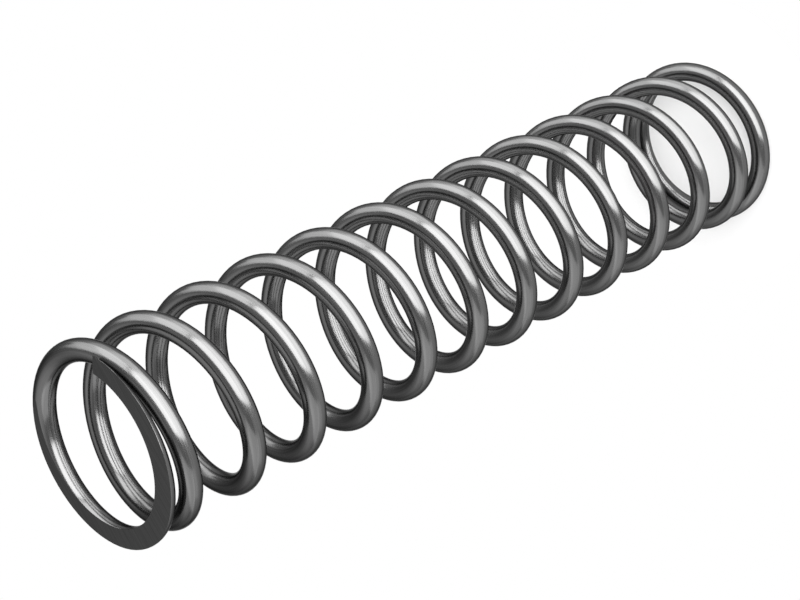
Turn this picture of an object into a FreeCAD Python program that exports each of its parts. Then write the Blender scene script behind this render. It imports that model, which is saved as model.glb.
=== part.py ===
import FreeCAD
import Part
import math
import os

# Compression spring, cold coiled from round steel wire: right-hand, with closed and ground ends.
# It is one piece of wire, so it is one solid.
# Millimetres. The spring stands upright: +Z is its axis, the origin is the centre of the lower
# ground face, and the lower wire tip points along +X.

doc = FreeCAD.newDocument("compression_spring")

# Driving sizes
DRIVING_SIZES = [
    ("wire_diameter", 2.5, "round wire"),
    ("mean_diameter", 20.5, "coil diameter at the wire's centre"),
    ("free_length", 106.5, "unloaded, over the two ground faces"),
    ("total_coils", 13.875, "turns from tip to tip"),
    ("lower_closed_coils", 0.95, "turns at the lower end wound at the closing pitch"),
    ("upper_closed_coils", 0.8, "turns at the upper end wound at the closing pitch"),
    ("easing_coils", 0.55, "turns over which the pitch then grows to the working pitch"),
    ("tip_thickness", 0.65, "wire left at each tip after grinding"),
    ("tip_gap", 0.05, "gap from each tip to the coil it closes on"),
]

sizes = doc.addObject("Spreadsheet::Sheet", "sizes")
for row, (alias, value, note) in enumerate(DRIVING_SIZES, start=1):
    sizes.set("A%d" % row, str(value))
    sizes.setAlias("A%d" % row, alias)
    sizes.set("B%d" % row, note)
doc.recompute()

wire_radius = sizes.wire_diameter / 2
coil_radius = sizes.mean_diameter / 2
half_coils = sizes.total_coils / 2


# Pitch of the winding, counted in turns in from a tip that stays closed for the given number of turns
def eased(turns, closed):
    """Share of the working pitch that the pitch has reached: 0 while closed, 1 beyond the easing."""
    share = min(max((turns - closed) / sizes.easing_coils, 0), 1)
    return share ** 2 * (3 - 2 * share)


def eased_sum(turns, closed):
    """The share above, summed over the turns from the tip."""
    share = min(max((turns - closed) / sizes.easing_coils, 0), 1)
    beyond = max(turns - closed - sizes.easing_coils, 0)
    return sizes.easing_coils * (share ** 3 - share ** 4 / 2) + beyond


# The wire's centre starts below the ground face, because the tip is ground thinner than half the
# wire. It rises by one wire and the gap in the first turn, so that the tip lies on the next coil.
tip_height = sizes.tip_thickness - wire_radius
first_turn_rise = sizes.wire_diameter + sizes.tip_gap


def turns_taken(closed):
    """Turns at the rise of the first one that an end takes off the working coils."""
    return (closed + sizes.easing_coils / 2) / (1 - eased_sum(1, closed))


turns_at_ends = turns_taken(sizes.lower_closed_coils) + turns_taken(sizes.upper_closed_coils)
working_rise = sizes.free_length - 2 * tip_height - first_turn_rise * turns_at_ends
working_pitch = working_rise / (sizes.total_coils - turns_at_ends)


def closing_pitch(closed):
    """Pitch of the closed turns. The growth that falls within the first turn is taken off it."""
    grown = eased_sum(1, closed)
    return (first_turn_rise - working_pitch * grown) / (1 - grown)


# Centre line of the wire
def end_of(turns):
    """Turns in from the nearer tip, how long that end stays closed, and its closing pitch."""
    upper = turns > half_coils
    closed = sizes.upper_closed_coils if upper else sizes.lower_closed_coils
    return (sizes.total_coils - turns if upper else turns), closed, closing_pitch(closed)


def centre(turns):
    """Centre of the wire this many turns up from the lower tip."""
    from_tip, closed, pitch = end_of(turns)
    rise = tip_height + pitch * from_tip + (working_pitch - pitch) * eased_sum(from_tip, closed)
    height = rise if turns <= half_coils else sizes.free_length - rise
    angle = 2 * math.pi * turns
    return FreeCAD.Vector(coil_radius * math.cos(angle), coil_radius * math.sin(angle), height)


def heading(turns):
    """Direction of the wire there."""
    from_tip, closed, pitch = end_of(turns)
    angle = 2 * math.pi * turns
    around = 2 * math.pi * coil_radius
    climb = pitch + (working_pitch - pitch) * eased(from_tip, closed)
    return FreeCAD.Vector(-around * math.sin(angle), around * math.cos(angle), climb).normalize()


def arc(start, corner, end):
    """Circular arc from start to end whose end tangents meet at the corner."""
    middle = (start + end) / 2
    weight = (end - start).Length / 2 / (corner - start).Length
    crown = (middle + corner * weight) / (1 + weight)
    return Part.Arc(start, crown, end).toShape()


def pair_of_arcs(lower, upper):
    """Two arcs along the winding, tangent to it at both ends and to each other where they meet."""
    start = centre(lower)
    end = centre(upper)
    start_heading = heading(lower)
    end_heading = heading(upper)
    chord = end - start
    both = start_heading + end_heading
    bend = 4 - both.dot(both)
    along = chord.dot(both)
    reach = (math.sqrt(along ** 2 + bend * chord.dot(chord)) - along) / bend
    first_corner = start + start_heading * reach
    second_corner = end - end_heading * reach
    meeting = (first_corner + second_corner) / 2
    return [arc(start, first_corner, meeting), arc(meeting, second_corner, end)]


PAIRS_PER_COIL = 8
pairs = math.ceil(sizes.total_coils * PAIRS_PER_COIL)
step = sizes.total_coils / pairs
centre_arcs = []
for number in range(pairs):
    centre_arcs += pair_of_arcs(number * step, (number + 1) * step)

centre_line = doc.addObject("Part::Feature", "centre_line")
centre_line.Label = "centre_line_of_the_wire"
centre_line.Shape = Part.Wire(centre_arcs)

# Round wire swept along the centre line
wire_section = doc.addObject("Part::Circle", "wire_section")
wire_section.setExpression("Radius", "sizes.wire_diameter / 2")
wire_section.AttachmentSupport = [(centre_line, "Edge1")]
wire_section.MapMode = "NormalToEdge"
wire_section.MapPathParameter = 0

wound_wire = doc.addObject("Part::Sweep", "wound_wire")
wound_wire.Label = "wound_wire_before_grinding"
wound_wire.Sections = [wire_section]
wound_wire.Spine = (centre_line, [])
wound_wire.Solid = True
wound_wire.Frenet = True

# Both ends ground flat, square to the axis, down to the free length
between_wheels = doc.addObject("Part::Cylinder", "between_wheels")
between_wheels.Label = "space_between_the_grinding_wheels"
between_wheels.setExpression("Radius", "sizes.mean_diameter / 2 + sizes.wire_diameter")
between_wheels.setExpression("Height", "sizes.free_length")

coiled_wire = doc.addObject("Part::Common", "coiled_wire")
coiled_wire.Label = "coiled_wire"
coiled_wire.Base = wound_wire
coiled_wire.Tool = between_wheels
doc.recompute()

# Checks before anything is written
for item in doc.Objects:
    if "Invalid" in item.State or "Error" in item.State:
        raise RuntimeError("%s did not build: %s" % (item.Label, item.State))
for item in (wound_wire, coiled_wire):
    if item.Shape.isNull() or not item.Shape.isValid() or len(item.Shape.Solids) != 1:
        raise RuntimeError("%s is not one valid solid" % item.Label)
section_times_length = math.pi * wire_radius ** 2 * centre_line.Shape.Length
if abs(wound_wire.Shape.Volume / section_times_length - 1) > 0.001:
    raise RuntimeError("the wound wire's volume is %.1f mm3, but its section times its length is %.1f mm3" % (
        wound_wire.Shape.Volume, section_times_length))

print("wire length %.1f mm, wound volume %.1f mm3, ground volume %.1f mm3" % (
    centre_line.Shape.Length, wound_wire.Shape.Volume, coiled_wire.Shape.Volume))
print("closing pitch %.3f mm below, %.3f mm above, working pitch %.3f mm" % (
    closing_pitch(sizes.lower_closed_coils), closing_pitch(sizes.upper_closed_coils), working_pitch))
print("outer diameter %.2f mm, inner diameter %.2f mm" % (
    sizes.mean_diameter + sizes.wire_diameter, sizes.mean_diameter - sizes.wire_diameter))

os.makedirs("parts", exist_ok=True)
coiled_wire.Shape.exportStep("parts/%s.step" % coiled_wire.Label)
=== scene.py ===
# %% [markdown]
# # A ground compression spring
# The part is one length of round spring steel wire, wound right-hand on a coiling machine, with
# both ends closed up and ground flat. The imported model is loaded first. It stays the frame for
# everything else: the new wire has to fill the same space, standing on the same flat end.

# %% Load the frame
import math

import bpy
from mathutils import Matrix, Vector


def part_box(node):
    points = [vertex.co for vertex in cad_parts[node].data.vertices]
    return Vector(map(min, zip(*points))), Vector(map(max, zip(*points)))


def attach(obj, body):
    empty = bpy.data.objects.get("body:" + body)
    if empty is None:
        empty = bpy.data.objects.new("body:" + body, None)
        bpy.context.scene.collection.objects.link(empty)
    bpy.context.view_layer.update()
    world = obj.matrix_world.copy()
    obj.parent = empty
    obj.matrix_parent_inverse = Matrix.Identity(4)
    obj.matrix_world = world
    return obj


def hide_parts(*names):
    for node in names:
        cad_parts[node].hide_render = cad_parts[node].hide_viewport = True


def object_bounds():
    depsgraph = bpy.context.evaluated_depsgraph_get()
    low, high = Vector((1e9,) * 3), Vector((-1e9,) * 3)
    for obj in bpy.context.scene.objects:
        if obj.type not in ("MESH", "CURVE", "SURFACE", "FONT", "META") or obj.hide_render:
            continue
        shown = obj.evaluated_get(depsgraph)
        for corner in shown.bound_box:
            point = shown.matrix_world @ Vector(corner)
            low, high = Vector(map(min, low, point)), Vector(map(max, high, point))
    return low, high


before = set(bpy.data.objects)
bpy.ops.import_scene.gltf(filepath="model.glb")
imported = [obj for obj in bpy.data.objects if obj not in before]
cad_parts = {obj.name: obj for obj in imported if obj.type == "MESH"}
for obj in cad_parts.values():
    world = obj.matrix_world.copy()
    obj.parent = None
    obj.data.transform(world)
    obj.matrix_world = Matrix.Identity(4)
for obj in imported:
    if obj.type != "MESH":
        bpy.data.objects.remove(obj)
cad_low, cad_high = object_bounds()
print("nodes:", sorted(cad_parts))
print("box in mm:", [round(side * 1000, 2) for side in cad_high - cad_low])

# %% [markdown]
# ## Sizes of the spring
# Every size below is in millimetres and becomes metres once, through MM. The free length and the
# outer diameter are read from the frame. The rest are the sizes that a spring maker would ask for:
# wire, number of coils, and how the pitch closes up at the ends.

# %% Sizes
MM = 0.001
spring_low, spring_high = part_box("coiled_wire")
FREE_LENGTH = spring_high.z - spring_low.z
OUTER_DIAMETER = spring_high.x - spring_low.x
WIRE_DIAMETER = 2.5 * MM
WIRE_RADIUS = WIRE_DIAMETER / 2
COIL_RADIUS = (OUTER_DIAMETER - WIRE_DIAMETER) / 2
TOTAL_COILS = 13.875
LOWER_CLOSED_COILS = 0.95  # turns at the closing pitch
UPPER_CLOSED_COILS = 0.8
EASING_COILS = 0.55  # turns over which the pitch then grows
TIP_THICKNESS = 0.65 * MM  # wire left at each tip after grinding
TIP_GAP = 0.05 * MM  # from each tip to the coil it closes on
print("coil radius %.2f mm, free length %.1f mm" % (COIL_RADIUS / MM, FREE_LENGTH / MM))

# %% [markdown]
# ## How the winding climbs
# A coiling machine sets the pitch with a tool that moves while the wire feeds. It starts close, so
# that the first turn lies on the next one, and then opens up smoothly. That is an easing curve: the
# share of extra pitch goes from 0 to 1 without a kink, and its running sum gives the height.


# %% Height of the wire's centre
def eased_sum(turns, closed):
    """Extra pitch summed over the turns in from a tip, which stays closed for this many of them."""
    share = min(max((turns - closed) / EASING_COILS, 0), 1)
    beyond = max(turns - closed - EASING_COILS, 0)
    return EASING_COILS * (share ** 3 - share ** 4 / 2) + beyond


def turns_taken(closed):
    """Turns at the rise of the first one that an end takes off the working coils."""
    return (closed + EASING_COILS / 2) / (1 - eased_sum(1, closed))


tip_height = TIP_THICKNESS - WIRE_RADIUS
first_turn_rise = WIRE_DIAMETER + TIP_GAP
turns_at_ends = turns_taken(LOWER_CLOSED_COILS) + turns_taken(UPPER_CLOSED_COILS)
working_rise = FREE_LENGTH - 2 * tip_height - first_turn_rise * turns_at_ends
working_pitch = working_rise / (TOTAL_COILS - turns_at_ends)


def rise_from_tip(turns, closed):
    """Height of the wire's centre above its own ground face, this many turns in from the tip."""
    grown = eased_sum(1, closed)
    closing_pitch = (first_turn_rise - working_pitch * grown) / (1 - grown)
    opened = (working_pitch - closing_pitch) * eased_sum(turns, closed)
    return tip_height + closing_pitch * turns + opened


def wire_height(turns):
    """Height of the wire's centre, this many turns up from the lower tip."""
    if turns <= TOTAL_COILS / 2:
        return rise_from_tip(turns, LOWER_CLOSED_COILS)
    return FREE_LENGTH - rise_from_tip(TOTAL_COILS - turns, UPPER_CLOSED_COILS)


print("first turn rises %.2f mm" % (first_turn_rise / MM))
print("working pitch %.2f mm" % (working_pitch / MM))

# %% [markdown]
# ## Small helpers for edit mode
# An operator acts on all that is selected, and loading the frame leaves its node selected. One
# helper therefore deselects everything and then selects one object alone; the other prints a
# piece's size.


# %% Helpers
def only(piece):
    """Selects this object alone and makes it the active one."""
    bpy.ops.object.select_all(action="DESELECT")
    piece.select_set(True)
    bpy.context.view_layer.objects.active = piece


def report(piece):
    """Prints how many faces a finished piece has, and its size."""
    sides = [round(side / MM, 2) for side in piece.dimensions]
    print("%s: %d faces, %s mm" % (piece.name, len(piece.data.polygons), sides))


# %% [markdown]
# ## The wire
# Wire is what a curve object is for: a centre line with a round section. The alternative, a section
# extruded turn by turn, gives the same mesh with more work and no map along the wire. Made from a
# curve, the mesh keeps a UV map whose U runs along the wire and whose V runs round it. The drawing
# lines in the finish need exactly that.

# %% Wind the centre line
POINTS_PER_COIL = 72
SIDES_OF_WIRE = 48
SAME_POINT = 0.001 * MM  # points closer than this are merged

steps = round(TOTAL_COILS * POINTS_PER_COIL)
centre_curve = bpy.data.curves.new("wire_centre_line", "CURVE")
centre_curve.dimensions = "3D"
centre_curve.twist_mode = "Z_UP"
centre_spline = centre_curve.splines.new("POLY")
centre_spline.points.add(steps)
for number, point in enumerate(centre_spline.points):
    turns = TOTAL_COILS * number / steps
    angle = 2 * math.pi * turns
    point.co = (COIL_RADIUS * math.cos(angle), COIL_RADIUS * math.sin(angle), wire_height(turns), 1)
WIRE_LENGTH = centre_spline.calc_length()
print("wire: %.1f mm in %d steps" % (WIRE_LENGTH / MM, steps))

# %% Give it its round section and make it a mesh
centre_curve.bevel_depth = WIRE_RADIUS
centre_curve.bevel_resolution = SIDES_OF_WIRE // 2 - 2
centre_curve.use_fill_caps = True
spring = bpy.data.objects.new("spring_coiled_wire", centre_curve)
bpy.context.scene.collection.objects.link(spring)
only(spring)
bpy.ops.object.convert(target="MESH")
spring = bpy.context.object
bpy.ops.object.mode_set(mode="EDIT")
bpy.ops.mesh.select_all(action="SELECT")
bpy.ops.mesh.remove_doubles(threshold=SAME_POINT)
bpy.ops.mesh.normals_make_consistent(inside=False)
bpy.ops.object.mode_set(mode="OBJECT")
report(spring)

# %% [markdown]
# ## Grind the ends
# The real spring passes between two grinding wheels, which take off everything outside the free
# length. Bisect does the same to a mesh: it cuts along a plane, clears one side and fills the cut.
# The flat starts at the tip, goes round about three quarters of a turn and thins out to nothing.

# %% Cut both ends square
CUT_THRESHOLD = 0.0001 * MM  # the default would snap whatever is within a tenth of a millimetre


def grind(height, facing):
    """Cuts away the wire beyond this height on the side that facing names, and fills the cut."""
    bpy.ops.object.mode_set(mode="EDIT")
    bpy.ops.mesh.select_all(action="SELECT")
    bpy.ops.mesh.bisect(
        plane_co=(0, 0, height), plane_no=(0, 0, facing),
        use_fill=True, clear_outer=True, threshold=CUT_THRESHOLD,
    )
    bpy.ops.object.mode_set(mode="OBJECT")


only(spring)
grind(cad_low.z, -1)
grind(cad_high.z, 1)
report(spring)

# %% [markdown]
# ## Break the sharp edges
# Straight off the wheels, the edge of each flat would cut a finger, so springs are tumbled until it
# is rounded by a few hundredths of a millimetre. Only edges that are really sharp get this bevel.
# Where the flat thins out, wire and flat meet almost level, and there is no edge left to break.

# %% Pick the ground faces and round their edges
EDGE_BREAK = 0.05 * MM
SHARP_EDGE = math.radians(28)
FLAT_TOLERANCE = 0.001 * MM
FLAT_NORMAL = 0.999  # least upward or downward share of the normal of a flat
SLIVER = 0.01 * MM ** 2  # a face smaller than this is no flat


def is_ground(face):
    """True for a face that lies flat on either end."""
    on_low_end = face.center.z < cad_low.z + FLAT_TOLERANCE
    on_high_end = face.center.z > cad_high.z - FLAT_TOLERANCE
    return abs(face.normal.z) > FLAT_NORMAL and face.area > SLIVER and (on_low_end or on_high_end)


def select_edges_of_cuts():
    """Selects every sharp edge. After grinding, those are the edges round the cuts and tips."""
    bpy.ops.object.mode_set(mode="EDIT")
    bpy.ops.mesh.select_all(action="DESELECT")
    bpy.ops.mesh.select_mode(type="EDGE")
    bpy.ops.mesh.edges_select_sharp(sharpness=SHARP_EDGE)


only(spring)
select_edges_of_cuts()
bpy.ops.mesh.bevel(offset=EDGE_BREAK, segments=2, profile=0.5, affect="EDGES", clamp_overlap=True)
bpy.ops.mesh.select_all(action="SELECT")
bpy.ops.mesh.remove_doubles(threshold=SAME_POINT)
bpy.ops.object.mode_set(mode="OBJECT")
ground_faces = [face for face in spring.data.polygons if is_ground(face)]
areas = [round(face.area / MM ** 2, 2) for face in ground_faces]
print("ground faces:", len(ground_faces), "areas in mm2:", areas)

# %% Smooth shading, flats kept flat
GROUND_END_SLOT = 1  # the wire's own material is slot 0

for face in spring.data.polygons:
    face.use_smooth = True
for face in ground_faces:
    face.use_smooth = False
    face.material_index = GROUND_END_SLOT
report(spring)

# %% [markdown]
# ## Colours and nodes
# A colour is written as a designer would write it, as an sRGB hex value, and one function turns it
# to the linear values that the shader wants. One more function adds a node, with its settings and
# what feeds it, so that a material below reads as a list of steps.


# %% Colour and node helpers
def hex_colour(text):
    """Linear RGBA of an sRGB hex colour such as 8a8c8f."""
    channels = [int(text[i:i + 2], 16) / 255 for i in (0, 2, 4)]
    linear = [c / 12.92 if c <= 0.04045 else ((c + 0.055) / 1.055) ** 2.4 for c in channels]
    return (*linear, 1)


def add_node(tree, kind, settings=None, **inputs):
    """Adds a node. An input goes by its name, or by an underscore and its number.

    It is a value, or a socket of another node, which gets linked.
    """
    node = tree.nodes.new(kind)
    for name, value in (settings or {}).items():
        setattr(node, name, value)
    for name, value in inputs.items():
        number = name[1:]
        socket = node.inputs[int(number) if number.isdigit() else name.replace("_", " ")]
        if isinstance(value, bpy.types.NodeSocket):
            tree.links.new(value, socket)
        else:
            socket.default_value = value
    return node


def new_material(name):
    """A new material, and its node tree with nothing in it yet."""
    material = bpy.data.materials.new(name)
    material.use_nodes = True
    material.node_tree.nodes.clear()
    return material, material.node_tree


# %% [markdown]
# ## Finish of the wire: cold-drawn spring steel
# Spring wire is pulled cold through a row of dies. Each die leaves fine lines along the wire, a few
# hundredths of a millimetre apart, and the drawing soap leaves it a dull dark grey. To the eye that
# is a dark satin metal, brightest in long lines, whose edges fall off darker than a polished bar's.

# %% Cold-drawn wire material
WIRE_DARK = "5e5e5e"
WIRE_LIGHT = "6b6b6b"
LINE_SPACING = 0.1 * MM  # real die lines are finer than a pixel, so they are drawn this coarse
LINE_LENGTH = 50 * MM
LINE_DEPTH = 0.0008 * MM
BLOTCH_SIZE = 6 * MM
BLOTCH_SHARE = 0.3  # of the tone, next to the lines
WIRE_ROUGHNESS = (0.16, 0.24)
WIRE_EDGE_TINT = (0.25, 0.25, 0.25, 1)  # darkens the metal where it is seen at a low angle
NOISE_RANGE = (0.3, 0.7)  # nearly all of what a noise texture gives


def wire_finish():
    """Satin dark steel. Its lines follow the curve's UV map, along the wire and round it."""
    material, tree = new_material("cold_drawn_spring_steel")
    uv = add_node(tree, "ShaderNodeTexCoord").outputs["UV"]
    split = add_node(tree, "ShaderNodeSeparateXYZ", Vector=uv)
    turn = add_node(
        tree, "ShaderNodeMath", {"operation": "MULTIPLY"}, _0=split.outputs["Y"], _1=2 * math.pi,
    )
    across = add_node(tree, "ShaderNodeMath", {"operation": "COSINE"}, _0=turn.outputs[0])
    up = add_node(tree, "ShaderNodeMath", {"operation": "SINE"}, _0=turn.outputs[0])
    along = add_node(
        tree, "ShaderNodeMath", {"operation": "MULTIPLY"},
        _0=split.outputs["X"], _1=WIRE_LENGTH / LINE_LENGTH,
    )
    round_wire = add_node(tree, "ShaderNodeCombineXYZ", X=across.outputs[0], Y=up.outputs[0], Z=0.0)
    scaled = add_node(
        tree, "ShaderNodeVectorMath", {"operation": "SCALE"},
        _0=round_wire.outputs[0], Scale=WIRE_RADIUS / LINE_SPACING,
    )
    place = add_node(tree, "ShaderNodeSeparateXYZ", Vector=scaled.outputs[0])
    drawn = add_node(
        tree, "ShaderNodeCombineXYZ",
        X=place.outputs["X"], Y=place.outputs["Y"], Z=along.outputs[0],
    )
    lines = add_node(
        tree, "ShaderNodeTexNoise", Vector=drawn.outputs[0], Scale=1.0, Detail=2.0, Roughness=0.6,
    )
    here = add_node(tree, "ShaderNodeTexCoord").outputs["Object"]
    blotches = add_node(tree, "ShaderNodeTexNoise", Vector=here, Scale=1 / BLOTCH_SIZE, Detail=2.0)
    both = add_node(
        tree, "ShaderNodeMix", {"data_type": "FLOAT"},
        _0=BLOTCH_SHARE, _2=lines.outputs[0], _3=blotches.outputs[0],
    )
    tone = add_node(tree, "ShaderNodeValToRGB", Fac=both.outputs[0])
    tone.color_ramp.elements[0].position = NOISE_RANGE[0]
    tone.color_ramp.elements[0].color = hex_colour(WIRE_DARK)
    tone.color_ramp.elements[1].position = NOISE_RANGE[1]
    tone.color_ramp.elements[1].color = hex_colour(WIRE_LIGHT)
    rough = add_node(
        tree, "ShaderNodeMapRange", _0=lines.outputs[0],
        _1=NOISE_RANGE[0], _2=NOISE_RANGE[1], _3=WIRE_ROUGHNESS[0], _4=WIRE_ROUGHNESS[1],
    )
    ridges = add_node(
        tree, "ShaderNodeBump", Height=lines.outputs[0], Strength=1.0, Distance=LINE_DEPTH,
    )
    steel = add_node(
        tree, "ShaderNodeBsdfPrincipled",
        Base_Color=tone.outputs[0], Metallic=1.0, Roughness=rough.outputs[0],
        Specular_Tint=WIRE_EDGE_TINT, Normal=ridges.outputs[0],
    )
    add_node(tree, "ShaderNodeOutputMaterial", Surface=steel.outputs[0])
    return material


wire_material = wire_finish()
print("material:", wire_material.name)

# %% [markdown]
# ## Finish of the flats: ground steel
# The end faces run over coarse grinding wheels, whose grit leaves nearly parallel scratches. They
# blur what the metal mirrors, so a flat shows as one even dark grey from above, and only brightens
# when it is seen at a low angle. A darker edge tint keeps it from turning white there.

# %% Ground end material
GROUND_DARK = "484848"
GROUND_LIGHT = "535353"
SCRATCH_SPACING = 0.14 * MM
SCRATCH_LENGTH = 5 * MM
SCRATCH_DEPTH = 0.004 * MM
SCRATCH_STRENGTH = 0.5
GROUND_ROUGHNESS = 0.4
GROUND_EDGE_TINT = (0.4, 0.4, 0.4, 1)


def ground_finish():
    """Matte dark steel with nearly parallel scratches across the whole end."""
    material, tree = new_material("ground_spring_steel")
    here = add_node(tree, "ShaderNodeTexCoord").outputs["Object"]
    stretch = (1 / SCRATCH_LENGTH, 1 / SCRATCH_SPACING, 1 / SCRATCH_LENGTH)
    placed = add_node(tree, "ShaderNodeMapping", Vector=here, Scale=stretch)
    scratches = add_node(
        tree, "ShaderNodeTexNoise", Vector=placed.outputs[0], Scale=1.0, Detail=2.0,
    )
    tone = add_node(tree, "ShaderNodeValToRGB", Fac=scratches.outputs[0])
    tone.color_ramp.elements[0].position = NOISE_RANGE[0]
    tone.color_ramp.elements[0].color = hex_colour(GROUND_DARK)
    tone.color_ramp.elements[1].position = NOISE_RANGE[1]
    tone.color_ramp.elements[1].color = hex_colour(GROUND_LIGHT)
    cut = add_node(
        tree, "ShaderNodeBump",
        Height=scratches.outputs[0], Strength=SCRATCH_STRENGTH, Distance=SCRATCH_DEPTH,
    )
    steel = add_node(
        tree, "ShaderNodeBsdfPrincipled",
        Base_Color=tone.outputs[0], Metallic=1.0, Roughness=GROUND_ROUGHNESS,
        Specular_Tint=GROUND_EDGE_TINT, Normal=cut.outputs[0],
    )
    add_node(tree, "ShaderNodeOutputMaterial", Surface=steel.outputs[0])
    return material


ground_material = ground_finish()
spring.data.materials.append(wire_material)
spring.data.materials.append(ground_material)
print("material:", ground_material.name)

# %% [markdown]
# ## Put the wire in the frame
# The whole spring is one piece of wire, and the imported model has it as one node. The new wire
# stands in place of that node. It has no joint to move on, so it rides on the root.

# %% Put the wire in the frame
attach(spring, "root")
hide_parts("coiled_wire")
print(spring.name, "has", [material.name for material in spring.data.materials])

# %% [markdown]
# ## Plate and floor
# The spring could stand on a wide table, but the undersides of its coils would then mirror nothing
# but table, and no lamp could light them. Small shiny parts are therefore set on a small plate,
# high above the floor, so that lamps can also stand lower than the part. The plate takes the
# spring's soft shadow and fades to plain white towards its rim, so that the rim doesn't show
# against the floor. Light Path gives that white to the camera and to what metal mirrors, without
# lighting the spring with it.

# %% White of the studio
PLATE_COLOUR = "a6a6a6"
PLATE_FILL = 0.5  # white added to the lit plate, which brings it up to the white of the floor
PLATE_RADIUS = 22 * MM
PLATE_GAP = 0.01 * MM  # the flat end and the plate may not share one plane, or they would flicker
PLATE_FADE = (14 * MM, 21 * MM)
FLOOR_DROP = 1.0
FLOOR_RADIUS = 40.0
FLOOR_FADE = (0.0, 1 * MM)  # all of the floor is plain white
RIM_POINTS = 128


def studio_white(name, fade):
    """White paint that takes shadows up to where the fade begins, and is plain white beyond it."""
    material, tree = new_material(name)
    here = add_node(tree, "ShaderNodeTexCoord").outputs["Object"]
    distance = add_node(tree, "ShaderNodeVectorMath", {"operation": "LENGTH"}, _0=here)
    outside = add_node(
        tree, "ShaderNodeMapRange", {"interpolation_type": "SMOOTHSTEP"},
        _0=distance.outputs["Value"], _1=fade[0], _2=fade[1],
    )
    path = add_node(tree, "ShaderNodeLightPath").outputs
    seen = add_node(
        tree, "ShaderNodeMath", {"operation": "MAXIMUM"},
        _0=path["Is Camera Ray"], _1=path["Is Glossy Ray"],
    )
    shown = add_node(
        tree, "ShaderNodeMath", {"operation": "MAXIMUM"},
        _0=seen.outputs[0], _1=path["Is Transmission Ray"],
    )
    fill = add_node(
        tree, "ShaderNodeMath", {"operation": "MULTIPLY"}, _0=shown.outputs[0], _1=PLATE_FILL,
    )
    paint = add_node(tree, "ShaderNodeBsdfDiffuse", Color=hex_colour(PLATE_COLOUR))
    glow = add_node(tree, "ShaderNodeEmission", Color=(1, 1, 1, 1), Strength=fill.outputs[0])
    lit = add_node(tree, "ShaderNodeAddShader", _0=paint.outputs[0], _1=glow.outputs[0])
    plain = add_node(tree, "ShaderNodeEmission", Color=(1, 1, 1, 1), Strength=shown.outputs[0])
    both = add_node(
        tree, "ShaderNodeMixShader", _0=outside.outputs[0], _1=lit.outputs[0], _2=plain.outputs[0],
    )
    add_node(tree, "ShaderNodeOutputMaterial", Surface=both.outputs[0])
    return material


def white_disc(name, radius, height, fade):
    """A round white stage surface at this height."""
    bpy.ops.object.select_all(action="DESELECT")
    bpy.ops.mesh.primitive_circle_add(
        vertices=RIM_POINTS, radius=radius, fill_type="NGON", location=(0, 0, height),
    )
    disc = bpy.context.object
    disc.name = name
    disc.data.materials.append(studio_white(name + "_white", fade))
    return disc


for disc in (
    white_disc("plate", PLATE_RADIUS, cad_low.z - PLATE_GAP, PLATE_FADE),
    white_disc("floor", FLOOR_RADIUS, cad_low.z - FLOOR_DROP, FLOOR_FADE),
):
    print("%s: %.3f m across" % (disc.name, disc.dimensions.x))

# %% [markdown]
# ## Light
# Round metal shows its surroundings as stripes along the wire, so where the light comes from
# matters more than how much there is. Two things make the stripes here: the walls, which are a
# world with plain levels, and soft lamps round the spring. First the walls. They are as white as
# the floor where they meet it, so that no line shows there, and grey above it. The back wall is
# darker, which gives each coil its shaded side, and a skylight over it lifts the tops of the coils.

# %% Walls of the studio
WALL_LEVEL = 0.58
SKYLIGHT_LEVEL = 1.2
SKYLIGHT_AT = (120, 52)  # azimuth and elevation of its middle, in degrees
SKYLIGHT_CONE = (50, 16)  # degrees from its middle where it begins, and where it is full
BACK_WALL_SHARE = 0.5  # of the level that the back wall would have
BACK_WALL_AT = (85, 4)
BACK_WALL_CONE = (45, 18)
HORIZON = (-0.02, 0.05)  # sines of the elevations between which white turns to the walls' level

world = bpy.data.worlds.new("studio_walls")
bpy.context.scene.world = world
world.use_nodes = True
walls = world.node_tree
walls.nodes.clear()
direction = add_node(walls, "ShaderNodeTexCoord").outputs["Generated"]


def towards(azimuth, elevation):
    """Unit vector towards an azimuth and elevation in degrees. Azimuth 0 is +X, and 90 is +Y."""
    azimuth, elevation = math.radians(azimuth), math.radians(elevation)
    reach = math.cos(elevation)
    return Vector((reach * math.cos(azimuth), reach * math.sin(azimuth), math.sin(elevation)))


def level_near(middle, cone, far_level, near_level):
    """A level that changes smoothly within a cone of directions round this middle."""
    near = add_node(
        walls, "ShaderNodeVectorMath", {"operation": "DOT_PRODUCT"}, _0=direction, _1=middle,
    )
    outer, inner = (math.cos(math.radians(angle)) for angle in cone)
    return add_node(
        walls, "ShaderNodeMapRange", {"interpolation_type": "SMOOTHSTEP"},
        _0=near.outputs["Value"], _1=outer, _2=inner, _3=far_level, _4=near_level,
    ).outputs[0]


skylight = level_near(towards(*SKYLIGHT_AT), SKYLIGHT_CONE, WALL_LEVEL, SKYLIGHT_LEVEL)
back_wall = level_near(towards(*BACK_WALL_AT), BACK_WALL_CONE, 1.0, BACK_WALL_SHARE)
wall = add_node(walls, "ShaderNodeMath", {"operation": "MULTIPLY"}, _0=skylight, _1=back_wall)
upward = add_node(walls, "ShaderNodeSeparateXYZ", Vector=direction).outputs["Z"]
level = add_node(
    walls, "ShaderNodeMapRange", {"interpolation_type": "SMOOTHSTEP"},
    _0=upward, _1=HORIZON[0], _2=HORIZON[1], _3=1.0, _4=wall.outputs[0],
)
background = add_node(walls, "ShaderNodeBackground", Color=(1, 1, 1, 1), Strength=level.outputs[0])
add_node(walls, "ShaderNodeOutputWorld", Surface=background.outputs[0])
print("walls: %.2f, back %.2f" % (WALL_LEVEL, WALL_LEVEL * BACK_WALL_SHARE))
print("skylight: %.2f" % SKYLIGHT_LEVEL)

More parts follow.
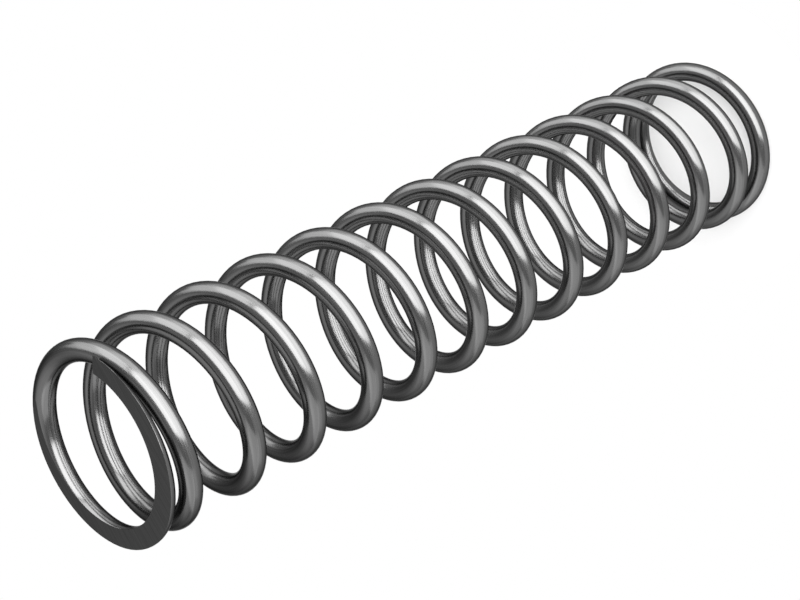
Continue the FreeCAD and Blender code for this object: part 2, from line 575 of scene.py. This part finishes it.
# %% [markdown]
# ## Lamps
# Each lamp is placed by the directions that it fills as seen from the spring, because that is what
# the metal shows: a wide lamp gives a wide bright stripe, and its edge is where the stripe ends.
# The brightness is set as radiance, and the watts follow from it and from the lamp's size. The key
# lamps stand in front in three rows, the lowest below the plate. The side lamps stand to the right,
# dimmer towards the back, and two weak ones fill the left.


# %% Lamps
LAMP_DISTANCE = 0.9


def light_panel(name, azimuths, elevations, radiance):
    """A rectangular lamp that faces the spring and covers these directions, in degrees."""
    azimuth = math.radians(sum(azimuths) / 2)
    width = 2 * LAMP_DISTANCE * math.tan(math.radians(azimuths[1] - azimuths[0]) / 2)
    low, high = (LAMP_DISTANCE * math.tan(math.radians(elevation)) for elevation in elevations)
    height = high - low
    middle = (cad_low.z + cad_high.z + low + high) / 2
    place = (LAMP_DISTANCE * math.cos(azimuth), LAMP_DISTANCE * math.sin(azimuth), middle)
    turn = (math.pi / 2, 0, azimuth + math.pi / 2)
    bpy.ops.object.light_add(type="AREA", location=place, rotation=turn)
    lamp = bpy.context.object
    lamp.name = name
    lamp.data.shape = "RECTANGLE"
    lamp.data.size = width
    lamp.data.size_y = height
    lamp.data.energy = radiance * math.pi * width * height
    print("%s: %.2f x %.2f m, %.1f W" % (name, width, height, lamp.data.energy))


light_panel("key_panel", (-124, -43), (2, 46), 6.5)
light_panel("key_panel_low", (-125, -46), (-32, 2), 4.9)
light_panel("key_panel_foot", (-125, -46), (-49, -32), 3.6)
light_panel("side_panel", (-38, 2), (2, 47), 4.2)
light_panel("side_panel_end", (2, 31), (2, 46), 2.6)
light_panel("side_panel_high", (31, 41), (16, 42), 1.7)
light_panel("side_panel_low", (-46, -10), (-42, 2), 2.5)
light_panel("side_panel_low_end", (-10, 14), (-30, 2), 1.2)
light_panel("fill_panel", (148, 201), (0, 52), 1.1)
light_panel("fill_panel_low", (166, 203), (-22, 0), 0.5)

# %% [markdown]
# ## Camera
# The camera looks down on the standing spring from the front, from 22 cm away through a long lens,
# and is rolled far over, so that the spring lies across the picture with its upper end nearest.

# %% Camera
LENS = 84.93  # in millimetres, as Blender counts lenses and sensors
SENSOR_WIDTH = 36
NEAREST = 10 * MM
AIM = Vector((-0.615, 0.035, 61.564)) * MM
DISTANCE = 222.05 * MM
AZIMUTH = math.radians(-3.23)
ELEVATION = math.radians(39.75)
ROLL = math.radians(-117.18)

facing = Matrix.Rotation(AZIMUTH, 4, "Z") @ Matrix.Rotation(math.pi / 2 - ELEVATION, 4, "X")
turned = facing @ Matrix.Rotation(ROLL, 4, "Z")
place = AIM + turned.to_3x3() @ Vector((0, 0, DISTANCE))
camera_data = bpy.data.cameras.new("camera")
camera_data.lens = LENS
camera_data.sensor_width = SENSOR_WIDTH
camera_data.clip_start = NEAREST
camera = bpy.data.objects.new("camera", camera_data)
bpy.context.scene.collection.objects.link(camera)
camera.matrix_world = Matrix.Translation(place) @ turned
bpy.context.scene.camera = camera
bpy.context.scene.view_settings.view_transform = "Standard"
print("camera: %.0f mm from its aim, lens %.0f mm" % (DISTANCE / MM, LENS))
